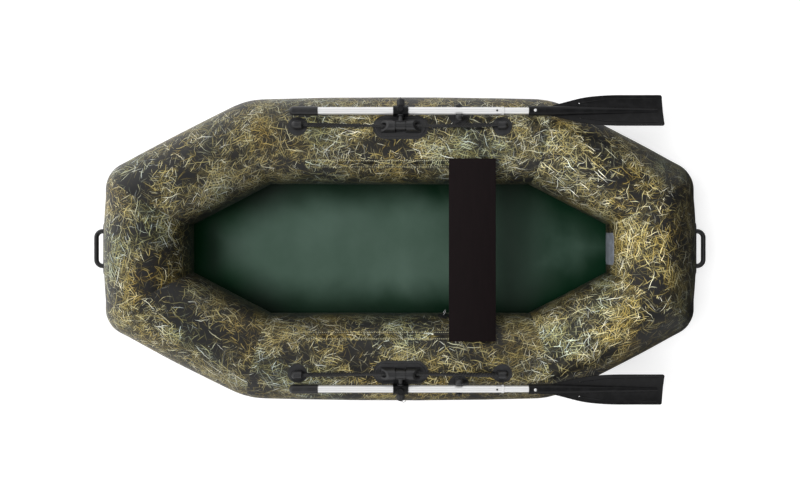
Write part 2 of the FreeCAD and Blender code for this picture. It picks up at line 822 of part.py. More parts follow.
def valve():
    """Screw valve with its cap, on the port stern quarter's inner wall."""
    body_start = Vector(0, 0, tube_radius + patch_thickness / 2)
    body = rod(valve_body_diameter, body_start, Vector(0, 0, tube_radius + valve_body_height))
    cap = rod(valve_cap_diameter, body_start, Vector(0, 0, tube_radius + valve_cap_height))
    cap = cap.makeFillet(valve_edge, [cap.Edges[0]])
    flange = wall_patch(disc(valve_flange_diameter), patch_thickness)
    shape = fused(flange, off_wall(body, patch_thickness / 2), off_wall(cap, patch_thickness / 2))
    corners = hull_corners()
    start = corners[1]
    end = corners[2]
    along = (end - start).normalize()
    inward = upward.cross(along)
    fall = math.radians(valve_angle_below)
    out = inward * math.cos(fall) - upward * math.sin(fall)
    shape.Placement = tube_frame((start + end) / 2, along, out)
    return shape


def lashing_frame():
    """Frame on the starboard side tube, out of its inner wall."""
    return tube_frame(Vector(lashing_x, -side_axis_y, tube_z), along_hull, polar(1, lashing_angle_above))


ring_sleeve_bore = ring_wire + 2 * ring_sleeve_fit
ring_sleeve_diameter = ring_sleeve_bore + 2 * ring_sleeve_wall
ring_axis_z = tube_radius + patch_thickness + ring_sleeve_diameter / 2


def lashing_patch():
    """Round patch with a short sleeve that holds the ring."""
    patch = wall_patch(disc(lashing_patch_diameter), patch_thickness)
    half = Vector(0, ring_sleeve_length / 2, 0)
    middle = Vector(0, 0, ring_axis_z)
    sleeve = rod(ring_sleeve_diameter, middle - half, middle + half)
    foot_corner = Vector(-ring_sleeve_diameter / 2, -half.y, tube_radius)
    foot = Part.makeBox(ring_sleeve_diameter, 2 * half.y, ring_axis_z - tube_radius, foot_corner)
    shape = fused(patch, sleeve, off_wall(foot, patch_thickness / 2))
    shape = shape.cut(rod(ring_sleeve_bore, middle - half, middle + half))
    shape.Placement = lashing_frame()
    return shape


def lashing_ring():
    """Wire ring with one straight side, turned on that side in its sleeve."""
    half = ring_height / 2
    corners = [Vector(0, 0, 0), Vector(0, -half, 0), Vector(0, -half, ring_reach)]
    corners += [Vector(0, half, ring_reach), Vector(0, half, 0)]
    radii = [0, ring_heel_radius, ring_toe_radius, ring_toe_radius, ring_heel_radius]
    ring = round_bar(rounded_wire(corners, radii, True), ring_wire)
    ring.Placement = Placement(Vector(0, 0, ring_axis_z), Rotation(Vector(0, 1, 0), ring_turn))
    ring.Placement = lashing_frame().multiply(ring.Placement)
    return ring


def make_small_fittings():
    handle = bow_handle()
    export("bow_handle", handle)
    export("stern_handle", to_stern(handle))
    export_pair("valve", valve())
    export("lashing_patch", lashing_patch())
    export("lashing_ring", lashing_ring())


os.makedirs("parts", exist_ok=True)
make_hull()
make_seat()
make_rowlocks()
make_oars()
make_keepers()
make_ropes()
make_small_fittings()
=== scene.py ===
import json
import math

import bmesh
import bpy
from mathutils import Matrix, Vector, noise


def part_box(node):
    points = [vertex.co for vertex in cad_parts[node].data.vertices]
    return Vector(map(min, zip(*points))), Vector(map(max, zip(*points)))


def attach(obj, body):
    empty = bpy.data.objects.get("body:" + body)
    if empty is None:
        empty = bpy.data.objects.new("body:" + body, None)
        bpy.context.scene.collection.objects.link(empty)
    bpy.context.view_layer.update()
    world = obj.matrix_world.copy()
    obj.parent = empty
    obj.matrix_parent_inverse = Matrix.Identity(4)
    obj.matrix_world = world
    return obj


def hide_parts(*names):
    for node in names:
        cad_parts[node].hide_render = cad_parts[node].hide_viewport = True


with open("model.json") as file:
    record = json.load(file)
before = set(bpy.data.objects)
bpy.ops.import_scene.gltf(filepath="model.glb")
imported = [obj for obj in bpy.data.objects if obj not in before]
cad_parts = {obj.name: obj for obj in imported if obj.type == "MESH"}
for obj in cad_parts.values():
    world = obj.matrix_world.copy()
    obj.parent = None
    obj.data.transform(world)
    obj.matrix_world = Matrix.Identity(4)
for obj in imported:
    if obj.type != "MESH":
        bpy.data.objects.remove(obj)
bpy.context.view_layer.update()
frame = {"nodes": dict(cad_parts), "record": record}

up = Vector((0, 0, 1))

# The hull's driving sizes, in metres
side_low, side_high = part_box("side_tube_port")
bow_end_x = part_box("bow_tube")[1].x
tube_radius = (side_high.z - side_low.z) / 2
tube_z = (side_high.z + side_low.z) / 2
side_axis_y = side_high.y - tube_radius
end_axis_x = bow_end_x - tube_radius
side_corner_x = 0.574
end_corner_y = 0.205

# The photographed frame: 3.28 m wide at the tubes' middle height, seen from 3.3 m above it
# and a little to port, with the lens shifted back to the boat
camera_height = 3.3
camera_x = 0.0006
camera_y = 0.093
frame_middle_y = -0.0058
frame_width = 3.28
sensor_width = 36.0


def look_from_above():
    """The photograph's view: straight down, with the bow to the right."""
    camera = bpy.data.objects.new("camera", bpy.data.cameras.new("camera"))
    bpy.context.scene.collection.objects.link(camera)
    camera.data.sensor_width = sensor_width
    camera.data.lens = sensor_width * camera_height / frame_width
    camera.data.clip_end = 50
    camera.data.shift_y = (frame_middle_y - camera_y) / frame_width
    camera.location = (camera_x, camera_y, tube_z + camera_height)
    bpy.context.scene.camera = camera
    bpy.context.scene.view_settings.view_transform = "Standard"


# Materials

def tone(red, green, blue):
    """A colour as it is seen, 0 to 255 a channel, as the linear colour that a shader takes."""
    def linear(level):
        level /= 255
        return level / 12.92 if level <= 0.04045 else ((level + 0.055) / 1.055) ** 2.4
    return (linear(red), linear(green), linear(blue), 1)


class Nodes:
    """A node tree, and short calls for the patterns in it."""

    def __init__(self, tree):
        self.tree = tree

    def set(self, socket, value):
        if isinstance(value, bpy.types.NodeSocket):
            self.tree.links.new(value, socket)
        else:
            socket.default_value = value

    def node(self, kind, **settings):
        made = self.tree.nodes.new("ShaderNode" + kind)
        for setting, value in settings.items():
            setattr(made, setting, value)
        return made

    def fill(self, made, *values):
        for socket, value in zip(made.inputs, values):
            if value is not None:
                self.set(socket, value)
        return made.outputs[0]

    def math(self, operation, *values, clamp=False):
        return self.fill(self.node("Math", operation=operation, use_clamp=clamp), *values)

    def vector(self, operation, *values):
        return self.fill(self.node("VectorMath", operation=operation), *values)

    def scaled(self, vector, amount):
        return self.vector("SCALE", vector, None, None, amount)

    def axes(self, vector):
        made = self.node("SeparateXYZ")
        self.set(made.inputs[0], vector)
        return made.outputs

    def object_place(self):
        return self.node("TexCoord").outputs["Object"]

    def cloth_place(self):
        return self.node("UVMap", uv_map="cloth").outputs["UV"]

    def attribute(self, name):
        return self.node("Attribute", attribute_name=name).outputs["Fac"]

    def placed(self, vector, shift=(0, 0, 0), turn=(0, 0, 0), size=(1, 1, 1)):
        """The pattern's own coordinates: moved and turned, and one unit for each size."""
        mapping = self.node("Mapping", vector_type="TEXTURE")
        return self.fill(mapping, vector, shift, turn, size)

    def noise(self, vector, scale, detail=2.0, roughness=0.5, output="Fac"):
        made = self.node("TexNoise")
        self.set(made.inputs["Vector"], vector)
        made.inputs["Scale"].default_value = scale
        made.inputs["Detail"].default_value = detail
        made.inputs["Roughness"].default_value = roughness
        return made.outputs[output]

    def cells(self, vector, **settings):
        """Cells about one unit wide."""
        made = self.node("TexVoronoi", **settings)
        self.set(made.inputs["Vector"], vector)
        made.inputs["Scale"].default_value = 1.0
        return made

    def mix(self, amount, first, second, blend="MIX"):
        made = self.node("Mix", data_type="RGBA", blend_type=blend)
        self.set(made.inputs[0], amount)
        self.set(made.inputs[6], first)
        self.set(made.inputs[7], second)
        return made.outputs[2]

    def between(self, value, low, high, bottom=0.0, top=1.0):
        """Bottom where the value is low, top where it is high, and a soft step between them."""
        made = self.node("MapRange", interpolation_type="SMOOTHSTEP")
        return self.fill(made, value, low, high, bottom, top)

    def ramp(self, value, *stops):
        """The colours of the stops, each a position and a colour."""
        made = self.node("ValToRGB")
        elements = made.color_ramp.elements
        while len(elements) < len(stops):
            elements.new(0.5)
        for element, (position, colour) in zip(elements, stops):
            element.position = position
            element.color = colour
        self.set(made.inputs[0], value)
        return made.outputs["Color"]


class Finish(Nodes):
    """A material with one main shader."""

    def __init__(self, name, colour, roughness, **sockets):
        self.material = bpy.data.materials.new(name)
        self.material.use_nodes = True
        super().__init__(self.material.node_tree)
        self.shader = self.tree.nodes["Principled BSDF"]
        self.shade(Base_Color=colour, Roughness=roughness, **sockets)

    def shade(self, **sockets):
        """Sets the shader's sockets, each under its own name with _ for a space."""
        for socket, value in sockets.items():
            self.set(self.shader.inputs[socket.replace("_", " ")], value)

    def bump(self, height, distance, strength):
        made = self.node("Bump")
        made.inputs["Strength"].default_value = strength
        made.inputs["Distance"].default_value = distance
        self.set(made.inputs["Height"], height)
        self.tree.links.new(made.outputs["Normal"], self.shader.inputs["Normal"])


# Printed cloth

earth_tones = ((0.36, tone(12, 12, 12)), (0.54, tone(24, 23, 21)), (0.70, tone(50, 47, 39)))
straw_tones = (
    (0.00, tone(86, 78, 50)),
    (0.14, tone(132, 118, 72)),
    (0.30, tone(166, 150, 96)),
    (0.48, tone(188, 174, 118)),
    (0.66, tone(206, 196, 148)),
    (0.82, tone(222, 218, 186)),
    (0.91, tone(236, 236, 220)),
    (0.97, tone(255, 255, 250)),
)
tint_drifts = (
    (0.36, (0.86, 0.98, 1.0, 1)),
    (0.46, (0.98, 1.0, 0.96, 1)),
    (0.56, (1.02, 0.98, 0.78, 1)),
    (0.68, (1.0, 0.88, 0.56, 1)),
)
tint_shift = (3.1, 1.7, 0)

# The layers of straws from the lowest up: a straw's length and width in metres, and its brightness
straw_layers = (
    (0.040, 0.0030, 0.13),
    (0.056, 0.0028, 0.17),
    (0.036, 0.0026, 0.21),
    (0.064, 0.0028, 0.26),
    (0.044, 0.0024, 0.32),
    (0.052, 0.0026, 0.40),
    (0.072, 0.0026, 0.48),
    (0.040, 0.0022, 0.58),
    (0.060, 0.0024, 0.70),
    (0.048, 0.0022, 0.83),
    (0.080, 0.0026, 0.96),
    (0.044, 0.0022, 1.07),
    (0.058, 0.0024, 1.17),
    (0.090, 0.0028, 1.27),
)
last_shaded_layer = 6

# From one layer to the next, the turn in radians and the shift
layer_turn = 2.39996
layer_shift = (0.37, 0.61)

# A straw's cell, as shares of the straw's own length and width, then the straw's bend, as a share
# of its length, and its soft edge, as a share of its width
straw_cell_length = 1.06
straw_cell_width = 4.3
straw_bend = 0.12
straw_soft_edge = 0.22

# The most that a straw leans to either side, in radians, and wanders, in metres
straw_lean = 0.15
straw_wander = 0.042

# How much lighter one edge of a straw is than the other, and what draws a second chance from one
straw_roundness = 0.55
chance_shuffle = 7.31

# Where the print's tone changes along the boat, in metres forward of its middle
whole_run = (-0.9, 0.7)
stern_end_run = (-0.95, -0.62)
bow_end_run = (0.62, 0.95)

# How much the print is lifted at the stern, what is taken from it at both ends, the darkest that
# it gets by that, and the share of it that the tubes' painted shade takes at most
stern_lift = 0.36
end_loss = (0.015, 0.0145, 0.013)
darkest = (0.002, 0.002, 0.002)
painted_shade_depth = 0.84

# The stitches along the seat rails, in metres, and their share of a step and of the print's tone
stitch_inset = 0.005
stitch_half_width = 0.0013
stitch_step = 0.0085
stitch_share = 0.55
stitch_cover = 0.8


def straw_layer(finish, place, under, index, share):
    """One layer of the print: long cells, each with one bent straw in its own tone, or none."""
    length, width, brightness = straw_layers[index]
    cell = (length * straw_cell_length, width * straw_cell_width, 1)
    shift = (layer_shift[0] * index, layer_shift[1] * index, 0)
    mapped = finish.placed(place, shift=shift, turn=(0, 0, layer_turn * index), size=cell)
    cells = finish.cells(mapped, voronoi_dimensions="2D")
    chance = finish.node("SeparateColor")
    finish.set(chance.inputs[0], cells.outputs["Color"])

    local = finish.vector("SUBTRACT", mapped, cells.outputs["Position"])
    local = finish.vector("MULTIPLY", local, cell)
    turned = finish.node("VectorRotate", rotation_type="Z_AXIS")
    finish.set(turned.inputs["Vector"], local)
    finish.set(turned.inputs["Angle"], finish.math(
        "MULTIPLY_ADD", chance.outputs[0], 2 * straw_lean, -straw_lean))
    x, y, _ = finish.axes(turned.outputs[0])

    along = finish.math("DIVIDE", x, length / 2)
    taper = finish.math("MULTIPLY_ADD", finish.math("MULTIPLY", along, along), -1.0, 1.0)
    side_chance = finish.math("SUBTRACT", chance.outputs[1], 0.5)
    bend = finish.math("MULTIPLY", side_chance, length * straw_bend)
    across = finish.math("MULTIPLY_ADD", taper, bend, y)
    half = finish.math("MULTIPLY", taper, width / 2)
    edge = finish.math("SUBTRACT", half, finish.math("ABSOLUTE", across))
    inside = finish.math("DIVIDE", edge, width * straw_soft_edge, clamp=True)
    grown = finish.math("LESS_THAN", chance.outputs[2], share)

    tone_chance = finish.math("FRACT", finish.math("MULTIPLY", chance.outputs[0], chance_shuffle))
    light = finish.math(
        "MULTIPLY_ADD", finish.math("DIVIDE", across, width), straw_roundness, brightness)
    straw = finish.scaled(finish.ramp(tone_chance, *straw_tones), light)
    return finish.mix(finish.math("MULTIPLY", inside, grown), under, straw)


def grass(finish, place):
    """Dark earth under straws that lie thicker in drifts, the lower ones shaded in places."""
    wander = finish.noise(place, 10.0, detail=3.0, roughness=0.55, output="Color")
    drift = finish.vector("SUBTRACT", wander, (0.5, 0.5, 0.5))
    curled = finish.vector("MULTIPLY_ADD", drift, (straw_wander, straw_wander, 0.0), place)

    colour = finish.ramp(finish.noise(place, 24.0, detail=4.0, roughness=0.6), *earth_tones)
    thickness = finish.noise(place, 5.2, detail=3.0, roughness=0.62)
    share = finish.between(thickness, 0.36, 0.58, bottom=0.12, top=0.92)
    for index in range(len(straw_layers)):
        colour = straw_layer(finish, curled, colour, index, share)
        if index == last_shaded_layer:
            shade = finish.noise(place, 12.0, detail=3.0, roughness=0.6)
            colour = finish.scaled(colour, finish.between(shade, 0.38, 0.58, bottom=0.4))
            thinner = finish.between(finish.noise(place, 7.6), 0.40, 0.58, bottom=0.35)
            share = finish.math("MULTIPLY", share, thinner)

    hue = finish.noise(finish.placed(place, shift=tint_shift), 3.4, roughness=0.55)
    return finish.mix(1.0, colour, finish.ramp(hue, *tint_drifts), "MULTIPLY")


def stitched(finish, under):
    """Two rows of pale stitches along the seat rails."""
    low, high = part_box("seat_rail_port")
    x, y, _ = finish.axes(finish.object_place())
    across = finish.math("ABSOLUTE", y)
    from_rows = finish.math("MINIMUM", *(
        finish.math("ABSOLUTE", finish.math("SUBTRACT", across, row))
        for row in (low.y + stitch_inset, high.y - stitch_inset)))
    in_row = finish.math("LESS_THAN", from_rows, stitch_half_width)
    step = finish.math("FRACT", finish.math("DIVIDE", x, stitch_step))
    thread = finish.math("MULTIPLY", in_row, finish.math("LESS_THAN", step, stitch_share))
    return finish.mix(finish.math("MULTIPLY", thread, stitch_cover), under, tone(196, 192, 160))


def toned_along(finish, colour):
    """The print as it is toned along the boat: brighter forward, with deeper darks at both ends."""
    x = finish.axes(finish.object_place())[0]
    stern_end = finish.between(x, *stern_end_run, bottom=1.0, top=0.0)
    bow_end = finish.between(x, *bow_end_run)
    run = finish.math(
        "MULTIPLY", finish.between(x, *whole_run, bottom=0.72, top=1.26),
        finish.math("MULTIPLY_ADD", stern_end, stern_lift, 1.0))
    loss = finish.scaled(end_loss, finish.math("MAXIMUM", stern_end, bow_end))
    colour = finish.vector("SUBTRACT", finish.scaled(colour, run), loss)
    return finish.vector("MAXIMUM", colour, darkest)


def printed_cloth(name, cloth_map):
    """Coated cloth with a dry grass print. The tubes' cloth has a map of its own, and painted shade
    in its colour.
    """
    finish = Finish(name, tone(60, 56, 44), 0.6, Coat_Weight=0.45, Coat_Roughness=0.52)
    place = finish.cloth_place() if cloth_map else finish.object_place()
    colour = grass(finish, place)
    if not cloth_map:
        colour = stitched(finish, colour)
    colour = toned_along(finish, colour)
    # Painted shade: the tubes' attribute darkens the print at their inner foot, outside toward the
    # bow, and by the seat
    if cloth_map:
        shade_factor = finish.math("MULTIPLY_ADD", finish.attribute("painted_tube_shade"), -painted_shade_depth, 1.0)
        colour = finish.scaled(colour, shade_factor)
    finish.shade(Base_Color=colour)

    weave = finish.noise(place, 900.0, detail=1.0)
    cloud = finish.noise(place, 16.0, detail=3.0)
    finish.bump(finish.math("MULTIPLY_ADD", cloud, 3.0, weave), distance=0.0006, strength=0.35)
    return finish.material


# The other finishes

# Wear brightens a moulded colour by a share of it and by a little light
wear_gain = 1.7
wear_lift = 0.006


def floor_cloth():
    """Plain green coated cloth, with a painted shadow forward of the seat that gives way to a
    painted pale patch of light by the bow, and painted shade where it turns under the tubes.
    """
    finish = Finish("floor_cloth", tone(64, 84, 73), 0.5)
    place = finish.cloth_place()
    cloud = finish.noise(place, 3.0, detail=4.0, roughness=0.6)
    colour = finish.ramp(cloud, (0.3, tone(56, 77, 65)), (0.7, tone(70, 90, 79)))

    x = finish.axes(finish.object_place())[0]
    drift = finish.noise(place, 5.5, detail=3.0)
    # Painted shadow of the seat on the floor forward of it, and a painted pale patch of light by the
    # bow
    painted_seat_shadow = finish.between(x, 0.26, 0.46, bottom=1.0, top=0.15)
    painted_bow_light = finish.between(
        finish.math("MULTIPLY_ADD", drift, 0.5, x), 0.82, 1.06, bottom=0.0, top=0.6)
    colour = finish.mix(finish.math("MAXIMUM", painted_seat_shadow, painted_bow_light), tone(26, 50, 37), colour)

    # Painted shade along the tubes' feet, a greener dark astern
    edge = finish.mix(finish.between(x, -0.85, -0.55), tone(9, 60, 32), tone(4, 33, 17))
    reach = finish.math("MULTIPLY_ADD", drift, 0.10, finish.attribute("wall_distance"))
    finish.shade(Base_Color=finish.mix(finish.between(reach, 0.115, 0.28), edge, colour))

    weave = finish.noise(place, 700.0, detail=1.0)
    finish.bump(finish.math("MULTIPLY_ADD", cloud, 4.0, weave), distance=0.0005, strength=0.4)
    return finish.material


def moulded(name, colour, roughness, grain_scale, grain_height, specular):
    """Moulded plastic or rubber with a fine grain, paler where it is worn."""
    finish = Finish(name, colour, roughness, Specular_IOR_Level=specular)
    place = finish.object_place()
    wear = finish.noise(place, 34.0, detail=4.0, roughness=0.65)
    worn = tuple(min(1.0, wear_gain * level + wear_lift) for level in colour[:3]) + (1,)
    finish.shade(
        Base_Color=finish.ramp(wear, (0.45, colour), (0.75, worn)),
        Roughness=finish.between(wear, 0.3, 0.7, bottom=roughness - 0.06, top=roughness + 0.1))
    grain = finish.noise(place, grain_scale, roughness=0.6)
    finish.bump(grain, distance=grain_height, strength=0.5)
    return finish.material


def drawn_alloy(name, level, blue, roughness, metallic):
    """Drawn tube or wire: fine lines along the boat's length, whiter where it is anodised."""
    colour = (level, level, blue, 1)
    finish = Finish(name, colour, roughness, Metallic=metallic)
    drawn = finish.placed(finish.object_place(), size=(1.0, 0.012, 0.012))
    lines = finish.noise(drawn, 4.0)
    tint = tuple(0.97 * channel for channel in colour[:3]) + (1,)
    finish.shade(
        Base_Color=finish.ramp(lines, (0.35, tint), (0.6, colour)),
        Roughness=finish.between(lines, 0.3, 0.7, bottom=roughness - 0.03, top=roughness + 0.04))
    return finish.material


def film_faced_plank():
    """Plywood under a dark film: a faint brown cast, and a fine print of the press wire."""
    finish = Finish("dark_plank", tone(18, 14, 15), 0.55, Specular_IOR_Level=0.15)
    place = finish.object_place()
    stretched = finish.placed(place, size=(0.03, 0.25, 0.03))
    cloud = finish.noise(stretched, 3.0, detail=4.0, roughness=0.6)
    finish.shade(Base_Color=finish.ramp(cloud, (0.3, tone(17, 12, 13)), (0.7, tone(21, 15, 16))))
    wire = finish.cells(finish.placed(place, size=(0.0014, 0.0014, 0.0014)))
    finish.bump(wire.outputs["Distance"], distance=0.0002, strength=0.35)
    return finish.material


# Each moulded finish: its name, colour, roughness, grain scale, grain height and specular level
moulded_finishes = (
    ("black_cloth", tone(28, 28, 29), 0.62, 1500.0, 0.0004, 0.3),
    ("black_rope", tone(44, 44, 44), 0.5, 2400.0, 0.0004, 0.5),
    ("black_rubber", tone(25, 25, 26), 0.38, 1800.0, 0.0003, 0.6),
    ("black_plastic", tone(12, 12, 13), 0.4, 1600.0, 0.0003, 0.25),
    ("grey_rubber", tone(31, 31, 32), 0.36, 1600.0, 0.0003, 0.6),
    ("white_plastic", tone(232, 232, 230), 0.4, 900.0, 0.0002, 0.5),
    ("bare_plate", tone(108, 112, 119), 0.4, 900.0, 0.0002, 0.5),
)

# Each drawn finish: its name, its red and green level, its blue level, roughness and metallic share
drawn_finishes = (
    ("oar_alloy", 0.97, 0.97, 0.22, 0.42),
    ("steel", 0.62, 0.63, 0.25, 0.9),
    ("dull_wire", 0.12, 0.12, 0.4, 0.9),
)

finishes = {
    "hull_print": printed_cloth("hull_print", True),
    "rail_print": printed_cloth("rail_print", False),
    "floor_cloth": floor_cloth(),
    "dark_plank": film_faced_plank(),
}
finishes.update((row[0], moulded(*row)) for row in moulded_finishes)
finishes.update((row[0], drawn_alloy(*row)) for row in drawn_finishes)

# Solids whose finish isn't the one of their slot, by the start of their name
own_finish = {
    "seat_rail": "rail_print",
    "rowlock_base": "grey_rubber",
    "rope_fitting": "grey_rubber",
    "rowlock_axle": "grey_rubber",
    "rowlock_knuckle": "grey_rubber",
    "oar_keeper": "grey_rubber",
    "pin_cap": "grey_rubber",
}


def dress_solids():
    """Gives every solid that stays its own finish, or that of its slot in the record."""
    for part in frame["record"]["subparts"]:
        solid = frame["nodes"].get(part["node"])
        if solid is None:
            continue
        finish = part["material_slot"]
        for start, own in own_finish.items():
            if part["node"].startswith(start):
                finish = own
        solid.data.materials.clear()
        solid.data.materials.append(finishes[finish])


def piece(name, shape, body, finish, slot, *nodes):
    """Makes one finished object from a mesh shape and gives it to its body."""
    mesh = bpy.data.meshes.new(name)
    shape.to_mesh(mesh)
    shape.free()
    mesh.shade_smooth()
    made = bpy.data.objects.new(name, mesh)
    bpy.context.scene.collection.objects.link(made)
    mesh.materials.append(finishes[finish])
    if nodes:
        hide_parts(*nodes)
    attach(made, body)
    return made


def close_ends(shape):
    """Fills the open rims of a shape, and returns their edges."""
    rims = [edge for edge in shape.edges if edge.is_boundary]
    bmesh.ops.holes_fill(shape, edges=rims, sides=0)
    return rims


# The hull ring

def ring(side_x, side_y, end_x, end_y):
    """Eight points, one for each corner of the hull: the port side's two, then round by the stern."""
    return tuple(
        Vector((end * x, side * y, 0))
        for end, side, x, y in (
            (1, 1, side_x, side_y), (-1, 1, side_x, side_y),
            (-1, 1, end_x, end_y), (-1, -1, end_x, end_y),
            (-1, -1, side_x, side_y), (1, -1, side_x, side_y),
            (1, -1, end_x, end_y), (1, 1, end_x, end_y),
        )
    )


# The corners where the tubes' axes meet, the runs between them, and the tube on each run
hull_corners = ring(side_corner_x, side_axis_y, end_axis_x, end_corner_y)
corner_count = len(hull_corners)
hull_runs = tuple(zip(hull_corners, hull_corners[1:] + hull_corners[:1]))
hull_tubes = (
    "side_tube_port", "stern_quarter_tube_port", "stern_tube", "stern_quarter_tube_starboard",
    "side_tube_starboard", "bow_quarter_tube_starboard", "bow_tube", "bow_quarter_tube_port",
)

# The outer walls draw in toward the corners, and the quarter tubes' are fullest between them.
# The span is of the cosine of the angle round the tube, from the inner half to the outer wall.
outer_wall_span = (0.1, 0.7)
side_inset = 0.008
end_inset = 0.009
quarter_fullness = 0.004
corner_insets = ring(0, -side_inset, -end_inset, 0)

# The outer wall is rounded at a corner, more where the turn is sharp, in radians
sharp_turn = 0.8
sharp_corner_radius = 0.118
blunt_corner_radius = 0.29
rounding_falloff = 1.4

# The seams: a narrow pinch, and puckers that die away from it. Then the walls' slight swell.
seam_pinch = 0.0006
seam_pinch_reach = 0.010
pucker_height = 0.0016
pucker_reach = 0.045
pucker_waves = 5.5
fine_pucker_waves = 13
fine_pucker_share = 0.6
seam_seed_step = 3.3
swell_height = 0.0012
swell_scale = 5.0

# The facets round a tube, the length of each along it, and the cloth map's shift from tube to tube
round_steps = 96
ring_pitch = 0.010
cloth_shift = (2.7, 1.3)

# Painted shade in the print's colour: at the tubes' inner foot, outside toward the bow, and a painted
# shadow by the seat. Heights and spans across a tube are shares of its radius, and the runs are
# metres forward of the boat's middle.
foot_shade_height = 0.84
outer_shade = 0.8
outer_shade_span = (0.1, 0.85)
outer_shade_run = (0.2, 1.0)
bow_outer_shade = 0.16
bow_shade_shift = 0.4
bow_shade_run = (0.85, 1.1)
port_seat_shade = 0.35
starboard_seat_shade = 0.6
seat_shade_start = (0.16, 0.3)
seat_shade_end = (0.46, 0.64)


def outward_of(along):
    """The level direction out of the hull, beside a run."""
    return Vector((along.y, -along.x, 0))


def soft_step(value, low, high):
    """0 below low, 1 above high, and a soft step between them."""
    share = min(1.0, max(0.0, (value - low) / (high - low)))
    return share * share * (3 - 2 * share)


def seam_shape(distance, angle, seed):
    """How far the wall lies under its true radius near a mitre seam: a pinch, and puckers."""
    pinch = seam_pinch * math.exp(-((distance / seam_pinch_reach) ** 2))
    coarse = noise.noise(Vector((angle * pucker_waves, seed, 0)))
    fine = noise.noise(Vector((angle * fine_pucker_waves, seed, 4)))
    folds = coarse + fine_pucker_share * fine
    return pinch + pucker_height * folds * math.exp(-distance / pucker_reach)


def corner_rounding(distance, outward, turn):
    """Where the outer wall is eased round a corner: its shift along the tube and its cut inwards."""
    fullness = max(0.0, outward) ** rounding_falloff
    radius = (sharp_corner_radius if turn > sharp_turn else blunt_corner_radius) * fullness
    reach = radius * math.tan(turn / 2)
    if distance >= reach or reach == 0:
        return 0.0, 0.0
    past = min(1.0, (reach - distance) / reach)
    along = past * radius * math.sin(turn / 2)
    cut = radius - math.sqrt(radius * radius - along * along)
    return distance - reach + along, cut


def mitred_tube(index, half_length, turns):
    """A round tube along x, with a map of its cloth, cut at the mitre planes of its two corners."""
    overrun = tube_radius * math.tan(max(turns) / 2) + ring_pitch
    rows = math.ceil(2 * (half_length + overrun) / ring_pitch)
    shape = bmesh.new()
    bmesh.ops.create_grid(shape, x_segments=rows, y_segments=round_steps, size=1)
    cloth = shape.loops.layers.uv.new("cloth")
    for vertex in shape.verts:
        vertex.co.x *= half_length + overrun
        vertex.co.y *= math.pi * tube_radius
    for face in shape.faces:
        for loop in face.loops:
            flat = loop.vert.co
            loop[cloth].uv = (flat.x + cloth_shift[0] * index, flat.y + cloth_shift[1] * index)
    for vertex in shape.verts:
        angle = vertex.co.y / tube_radius + math.pi / 2
        vertex.co.y = tube_radius * math.cos(angle)
        vertex.co.z = tube_radius * math.sin(angle)
    bmesh.ops.remove_doubles(shape, verts=shape.verts, dist=1e-5)
    for sign, turn in zip((-1, 1), turns):
        bmesh.ops.bisect_plane(
            shape, geom=shape.verts[:] + shape.edges[:] + shape.faces[:], dist=1e-6,
            plane_co=(sign * half_length, 0, 0),
            plane_no=(sign * math.cos(turn / 2), -math.sin(turn / 2), 0),
            clear_outer=True)
    return shape


def painted_wall_shade(kind, place, y, z):
    """How much painted shade darkens the print here, 0 to 1, with y and z measured from the tube's
    axis.
    """
    if y < 0:
        shade = 1 - soft_step(z / tube_radius, 0, foot_shade_height)
    else:
        fore = soft_step(place.x, *bow_shade_run)
        low, high = (edge - bow_shade_shift * fore for edge in outer_shade_span)
        outer = soft_step(y / tube_radius, low, high) if z > 0 else 1.0
        deepest = outer_shade + bow_outer_shade * fore
        shade = deepest * outer * soft_step(place.x, *outer_shade_run)
    # A painted shadow of the seat on the side tubes, forward of it
    if kind == "side":
        painted_seat_shadow = soft_step(place.x, *seat_shade_start) * (1 - soft_step(place.x, *seat_shade_end))
        seat_shade = port_seat_shade if place.y > 0 else starboard_seat_shade
        shade = max(shade, painted_seat_shadow * seat_shade)
    return shade


def air_tube(index):
    """One air tube of the ring, mitred to its neighbours, with its outer wall bowed."""
    name = hull_tubes[index]
    kind = "quarter" if "quarter" in name else name.split("_")[0]
    before, start, end, after = (
        hull_corners[(index + step) % corner_count] for step in (-1, 0, 1, 2))
    along = (end - start).normalized()
    outward = outward_of(along)
    half_length = (end - start).length / 2
    middle = (start + end) / 2 + up * tube_z
    turns = ((start - before).angle(end - start), (end - start).angle(after - end))
    seams = (index, (index + 1) % corner_count)

    shape = mitred_tube(index, half_length, turns)
    painted_tube_shade = shape.verts.layers.float.new("painted_tube_shade")
    for vertex in shape.verts:
        x, y, z = vertex.co
        angle = math.atan2(z, y)
        sunk = 0.0
        cut = 0.0
        slide = 0.0
        for sign, turn, seam in zip((-1, 1), turns, seams):
            distance = half_length + y * math.tan(turn / 2) - sign * x
            moved, eased = corner_rounding(distance, math.cos(angle), turn)
            slide += sign * moved
            cut += eased
            sunk += seam_shape(distance, angle, seam * seam_seed_step)

        run = min(1.0, max(-1.0, x / half_length))
        bowed = corner_insets[seams[0]].lerp(corner_insets[seams[1]], (run + 1) / 2)
        if kind == "quarter":
            bowed = bowed + outward * quarter_fullness * (1 - run * run)
        else:
            bowed = bowed * run * run

        radius = tube_radius - sunk
        x += slide
        y = radius * math.cos(angle) - cut
        z = radius * math.sin(angle)
        weight = soft_step(math.cos(angle), *outer_wall_span)
        place = middle + along * x + outward * y + up * z + weight * bowed
        # Painted shade, kept on the vertex for the print's colour
        vertex[painted_tube_shade] = painted_wall_shade(kind, place, y, z)
        swell = swell_height * noise.noise(place * swell_scale)
        vertex.co = place + swell * (outward * math.cos(angle) + up * math.sin(angle))

    for edge in close_ends(shape):
        edge.smooth = False
    bmesh.ops.recalc_face_normals(shape, faces=shape.faces)
    return piece(name + "_cloth", shape, "hull", "hull_print", "hull_print", name)


# The floor

